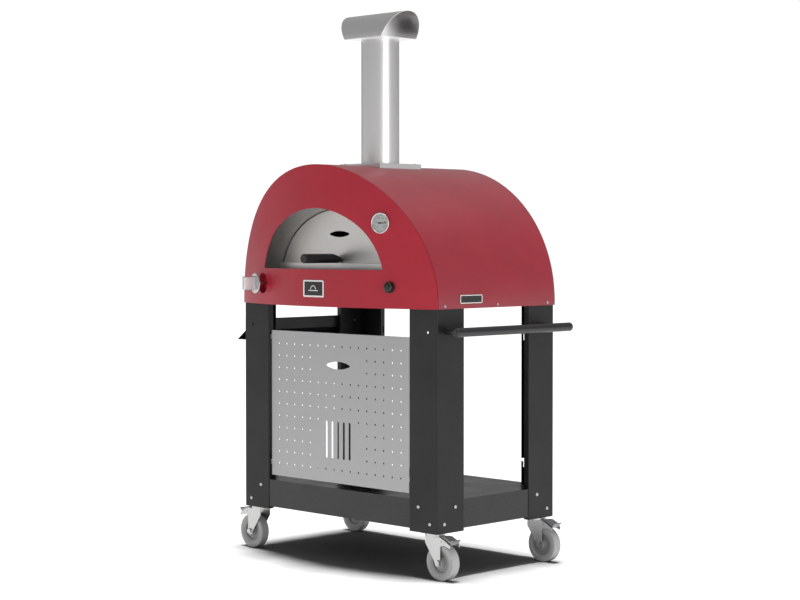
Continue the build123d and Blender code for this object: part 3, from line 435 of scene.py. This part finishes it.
def ring_points(columns, centre_v, height, surface):
    top = [surface(u, centre_v + h, height) for u, h in columns]
    bottom = [surface(u, centre_v - h, height) for u, h in reversed(columns)]
    return top + bottom


def badge_mesh(name, half_w, half_h, centre_v, profile, surface):
    """Plate whose edge follows profile, a list of (inset, height), with a smooth flat field inside."""
    bm = bmesh.new()
    rings = []
    for inset, height in profile:
        corner = max(0.0008, BADGE_CORNER - inset)
        columns = rounded_columns(half_w - inset, half_h - inset, corner, 5)
        rings.append([bm.verts.new(p) for p in ring_points(columns, centre_v, height, surface)])
    count = len(rings[0])
    for lower, upper in zip(rings, rings[1:]):
        for i in range(count):
            j = (i + 1) % count
            bm.faces.new((lower[i], lower[j], upper[j], upper[i]))
    field = []
    for ring in (rings[-1], rings[0]):
        for i in range(count // 2 - 1):
            face = bm.faces.new((ring[i], ring[i + 1], ring[count - 2 - i], ring[count - 1 - i]))
            field.append(face)
    for face in field[:len(field) // 2]:
        face.material_index = 1
    bmesh.ops.remove_doubles(bm, verts=bm.verts, dist=1e-6)
    bmesh.ops.recalc_face_normals(bm, faces=bm.faces)
    mesh = bpy.data.meshes.new(name)
    bm.to_mesh(mesh)
    bm.free()
    return mesh


def arch_mark():
    """Generic raised mark: an arch over a base line."""
    bm = bmesh.new()
    for i in range(MARK_STEPS):
        turns = (math.pi * i / MARK_STEPS, math.pi * (i + 1) / MARK_STEPS)
        (cos_a, sin_a), (cos_b, sin_b) = [(math.cos(turn), math.sin(turn)) for turn in turns]
        outline = [(MARK_INNER * cos_a, MARK_INNER * sin_a), (MARK_OUTER * cos_a, MARK_OUTER * sin_a)]
        outline += [(MARK_OUTER * cos_b, MARK_OUTER * sin_b), (MARK_INNER * cos_b, MARK_INNER * sin_b)]
        add_prism(bm, outline, MARK_LOW, MARK_HIGH)
    base = [(-MARK_BASE_HALF, MARK_BASE_BOTTOM), (MARK_BASE_HALF, MARK_BASE_BOTTOM)]
    base += [(MARK_BASE_HALF, MARK_BASE_TOP), (-MARK_BASE_HALF, MARK_BASE_TOP)]
    add_prism(bm, base, MARK_LOW, MARK_HIGH)
    for vert in bm.verts:
        vert.co = on_bow(vert.co.x, NAMEPLATE_Z - MARK_DROP + vert.co.y, vert.co.z)
    bmesh.ops.remove_doubles(bm, verts=bm.verts, dist=1e-7)
    mesh = bpy.data.meshes.new("nameplate_mark")
    bm.to_mesh(mesh)
    bm.free()
    return mesh


def on_wall(u, v, height):
    centre = (LABEL_LOW[1] + LABEL_HIGH[1]) / 2
    return Vector((WALL_X + height, centre + u, v))


def make_badges():
    """Bordered badge on the front with a generic mark, and a plain label on the side wall."""
    half_w = (NAMEPLATE_HIGH[0] - NAMEPLATE_LOW[0]) / 2
    half_h = (NAMEPLATE_HIGH[2] - NAMEPLATE_LOW[2]) / 2
    mesh = badge_mesh("nameplate_badge", half_w, half_h, NAMEPLATE_Z, BADGE_EDGE, on_bow)
    badge = add_piece("nameplate_badge", mesh, "badge")
    mesh.materials.append(MATERIALS["igniter_black"])
    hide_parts("nameplate")
    add_piece("nameplate_mark", arch_mark(), "badge")
    half_w = (LABEL_HIGH[1] - LABEL_LOW[1]) / 2
    half_h = (LABEL_HIGH[2] - LABEL_LOW[2]) / 2
    centre = (LABEL_LOW[2] + LABEL_HIGH[2]) / 2
    mesh = badge_mesh("side_badge", half_w, half_h, centre, LABEL_EDGE, on_wall)
    label = add_piece("side_badge", mesh, "badge")
    mesh.materials.append(MATERIALS["igniter_black"])
    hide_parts("side_label")


make_camera()
MATERIALS = make_materials()
paint_nodes(MATERIALS)
make_lights()
make_dial_print()
make_badges()
bpy.context.scene.view_settings.view_transform = "Standard"
